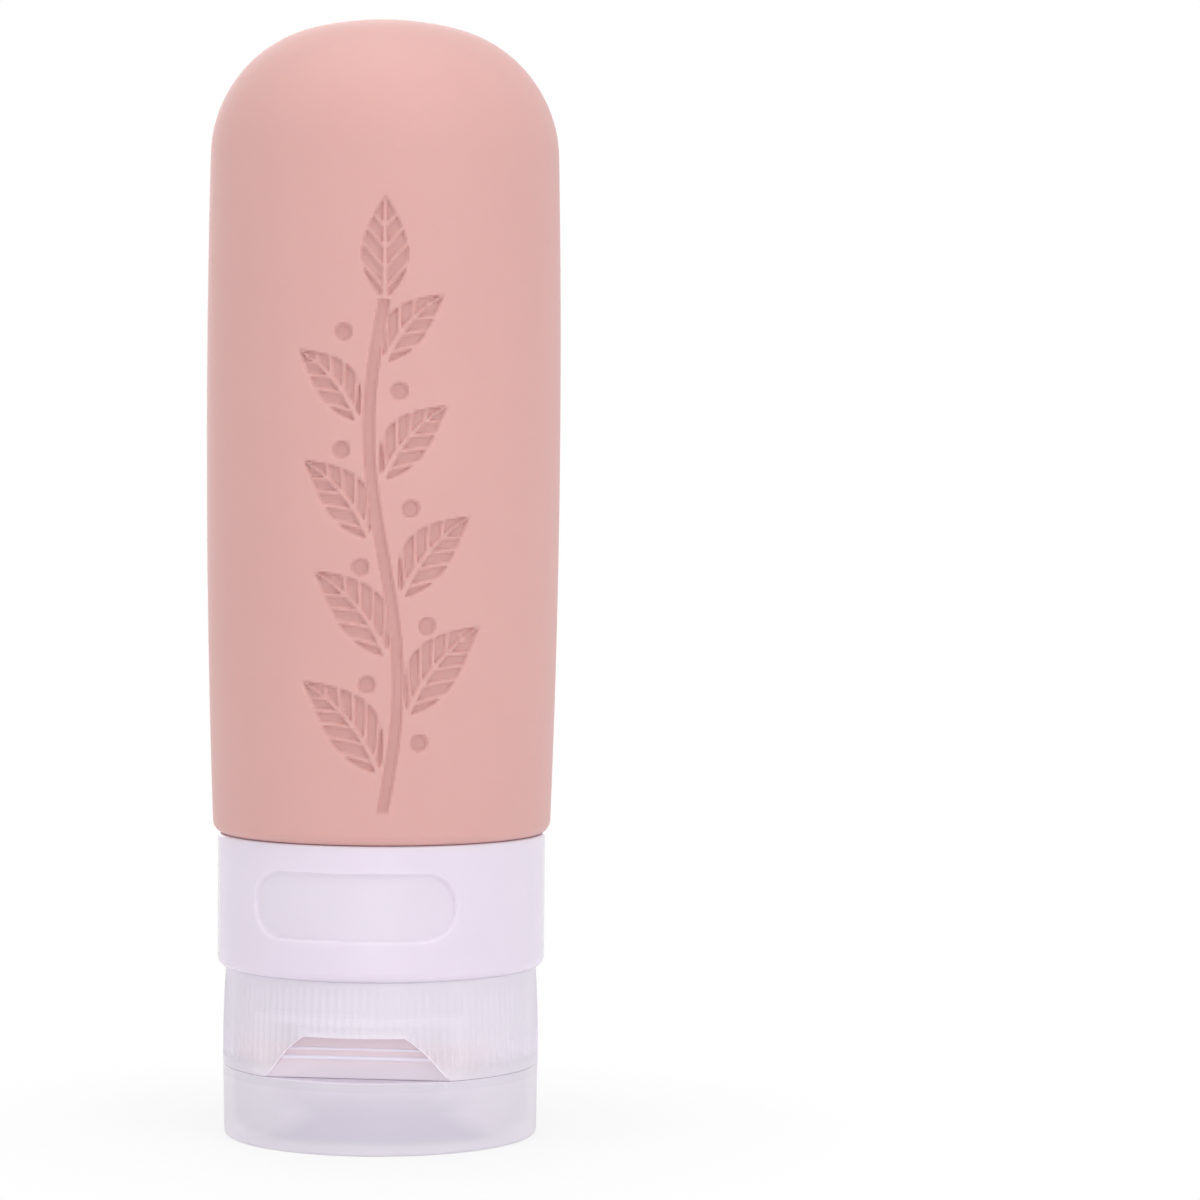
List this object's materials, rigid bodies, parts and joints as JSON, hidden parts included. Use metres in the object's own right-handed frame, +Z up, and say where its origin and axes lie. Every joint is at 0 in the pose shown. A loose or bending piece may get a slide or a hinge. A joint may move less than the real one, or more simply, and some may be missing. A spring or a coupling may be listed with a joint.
{
  "type": "travel silicone bottle",
  "caption": "Squeezable silicone travel bottle with a domed end, rigid collar, screw cap with slit valve and a flip lid on a living hinge, standing on its lid.",
  "frame": {"origin": "centre of the lid's foot face, where the bottle stands", "axes": "+Z up along the bottle's axis, from lid to dome; -Y is the front with the label recess and thumb scoop, +Y the hinge"},
  "size_m": [0.0412, 0.0412, 0.1297],
  "materials": {
    "silicone": "matte pink silicone",
    "collar": "milky polypropylene",
    "cap": "frosted natural polypropylene",
    "valve": "clear silicone"
  },
  "bodies": {
    "lid": {"cap_lid": "cap"},
    "cap": {"cap_base": "cap", "slit_valve": "valve", "hinge_strap": "cap", "hinge_wing_left": "cap", "hinge_wing_right": "cap"},
    "screw_carrier": {"valve_retainer": "cap"},
    "bottle": {"silicone_body": "silicone", "collar": "collar"}
  },
  "joints": [
    {"name": "lid_flip", "type": "hinge", "parent": "lid", "child": "cap", "pos_m": [0, 0.01875, 0.00835], "axis": [-1, 0, 0], "range_deg": [0, 130], "deforming": ["hinge_strap", "hinge_wing_left", "hinge_wing_right"]},
    {"name": "cap_unscrew", "type": "hinge", "parent": "cap", "child": "screw_carrier", "pos_m": [0, 0, 0.012], "axis": [0, 0, 1], "range_deg": [0, 720]},
    {"name": "cap_rise", "type": "slide", "parent": "screw_carrier", "child": "bottle", "axis": [0, 0, 1], "range_m": [0, 0.01201]}
  ],
  "couplings": [
    {"joint": "cap_rise", "follows": "cap_unscrew", "m_per_rad": 0.00095493}
  ]
}
